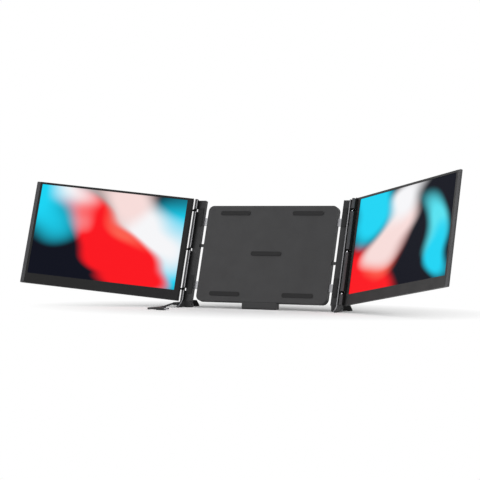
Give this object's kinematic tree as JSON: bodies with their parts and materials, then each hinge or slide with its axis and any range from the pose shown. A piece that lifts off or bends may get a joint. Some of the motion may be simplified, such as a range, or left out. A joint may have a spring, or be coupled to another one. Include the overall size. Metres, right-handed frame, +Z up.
{
  "type": "laptop screen extender",
  "caption": "Two side screens on leaning hinge columns, carried by a frame that stands behind a laptop lid and slides to its width, with fold-out legs and a short cable.",
  "frame": {"origin": "middle of the centre foot's sole, on the table behind the laptop", "axes": "+X to the right, +Y to the back, +Z up; the screens face -Y"},
  "size_m": [0.9868, 0.2413, 0.2753],
  "materials": {
    "housing_plastic": "matte",
    "steel": "satin",
    "white_plastic": "satin",
    "circuit_board": "satin",
    "black_rubber": "matte",
    "screw_steel": "satin",
    "rail_aluminium": "satin",
    "lip_aluminium": "satin",
    "barrel_aluminium": "satin",
    "foot_aluminium": "satin",
    "black_steel": "satin",
    "case_plastic": "satin",
    "bezel_plastic": "satin",
    "trim_aluminium": "satin",
    "left_display": "gloss",
    "right_display": "gloss",
    "light_guide": "satin",
    "button_plastic": "satin",
    "cable_rubber": "satin",
    "plug_plastic": "satin"
  },
  "bodies": {
    "frame": {"housing_front": "housing_plastic", "housing_back": "housing_plastic", "backbone_plate": "steel", "slide_guides": "white_plastic", "pinion_axle": "steel", "main_board": "circuit_board", "lid_pads": "black_rubber", "base_foot": "housing_plastic", "base_sole": "black_rubber", "housing_screws": "screw_steel"},
    "pinion": {"sync_pinion": "white_plastic"},
    "left_carriage": {"left_side_rail": "rail_aluminium", "left_edge_lip": "lip_aluminium", "left_slide_bars": "steel", "left_rack": "white_plastic", "left_rail_pads": "black_rubber", "left_hinge_barrels": "barrel_aluminium", "left_hinge_shaft": "black_steel", "left_foot": "foot_aluminium", "left_foot_sole": "black_rubber", "left_leg_pin": "black_steel", "port_board": "circuit_board", "usb_c_socket": "steel", "cable": "cable_rubber", "cable_plug": "plug_plastic", "laptop_plug": "plug_plastic"},
    "right_carriage": {"right_side_rail": "rail_aluminium", "right_edge_lip": "lip_aluminium", "right_slide_bars": "steel", "right_rack": "white_plastic", "right_rail_pads": "black_rubber", "right_hinge_barrels": "barrel_aluminium", "right_hinge_shaft": "black_steel", "right_foot": "foot_aluminium", "right_foot_sole": "black_rubber", "right_leg_pin": "black_steel"},
    "left_leg": {"left_leg": "black_steel", "left_leg_sole": "black_rubber"},
    "left_screen": {"left_back_cover": "case_plastic", "left_bezel": "bezel_plastic", "left_edge_trim": "trim_aluminium", "left_panel": "left_display", "left_backlight": "light_guide", "left_driver_board": "circuit_board", "left_hinge_arms": "black_steel", "left_arm_screws": "screw_steel"},
    "left_power_button": {"left_power_button": "button_plastic"},
    "left_menu_button": {"left_menu_button": "button_plastic"},
    "right_leg": {"right_leg": "black_steel", "right_leg_sole": "black_rubber"},
    "right_screen": {"right_back_cover": "case_plastic", "right_bezel": "bezel_plastic", "right_edge_trim": "trim_aluminium", "right_panel": "right_display", "right_backlight": "light_guide", "right_driver_board": "circuit_board", "right_hinge_arms": "black_steel", "right_arm_screws": "screw_steel"},
    "right_power_button": {"right_power_button": "button_plastic"},
    "right_menu_button": {"right_menu_button": "button_plastic"}
  },
  "joints": [
    {"name": "left_slide", "type": "slide", "parent": "frame", "child": "left_carriage", "axis": [-1, 0, 0], "range_m": [-0.005, 0.015]},
    {"name": "right_slide", "type": "slide", "parent": "frame", "child": "right_carriage", "axis": [1, 0, 0], "range_m": [-0.005, 0.015]},
    {"name": "pinion_spin", "type": "hinge", "parent": "frame", "child": "pinion", "pos_m": [0, 0.02217, 0.1131], "axis": [0, -0.9608, 0.2773], "range_deg": [-25, 75]},
    {"name": "left_screen_fold", "type": "hinge", "parent": "left_carriage", "child": "left_screen", "pos_m": [-0.1814, -0.01072, 0.00186], "axis": [0, 0.2773, 0.9608], "range_deg": [-27.3, 157.7]},
    {"name": "right_screen_fold", "type": "hinge", "parent": "right_carriage", "child": "right_screen", "pos_m": [0.1848, -0.01466, 0.00299], "axis": [0, -0.2773, -0.9608], "range_deg": [-36.7, 148.3]},
    {"name": "left_leg_fold", "type": "hinge", "parent": "left_carriage", "child": "left_leg", "pos_m": [-0.1778, 0.00191, 0.0065], "axis": [1, 0, 0], "range_deg": [0, 72]},
    {"name": "right_leg_fold", "type": "hinge", "parent": "right_carriage", "child": "right_leg", "pos_m": [0.1778, 0.00191, 0.0065], "axis": [1, 0, 0], "range_deg": [0, 72]},
    {"name": "left_power_press", "type": "slide", "parent": "left_screen", "child": "left_power_button", "axis": [0.3795, -0.8889, 0.2566], "range_m": [0, 0.0005], "stiffness_N_per_m": 400},
    {"name": "left_menu_press", "type": "slide", "parent": "left_screen", "child": "left_menu_button", "axis": [0.3795, -0.8889, 0.2566], "range_m": [0, 0.0005], "stiffness_N_per_m": 400},
    {"name": "right_power_press", "type": "slide", "parent": "right_screen", "child": "right_power_button", "axis": [-0.5255, -0.8174, 0.2359], "range_m": [0, 0.0005], "stiffness_N_per_m": 400},
    {"name": "right_menu_press", "type": "slide", "parent": "right_screen", "child": "right_menu_button", "axis": [-0.5255, -0.8174, 0.2359], "range_m": [0, 0.0005], "stiffness_N_per_m": 400}
  ],
  "couplings": [
    {"joint": "right_slide", "follows": "left_slide", "ratio": 1},
    {"joint": "pinion_spin", "follows": "left_slide", "rad_per_m": 83.333}
  ]
}
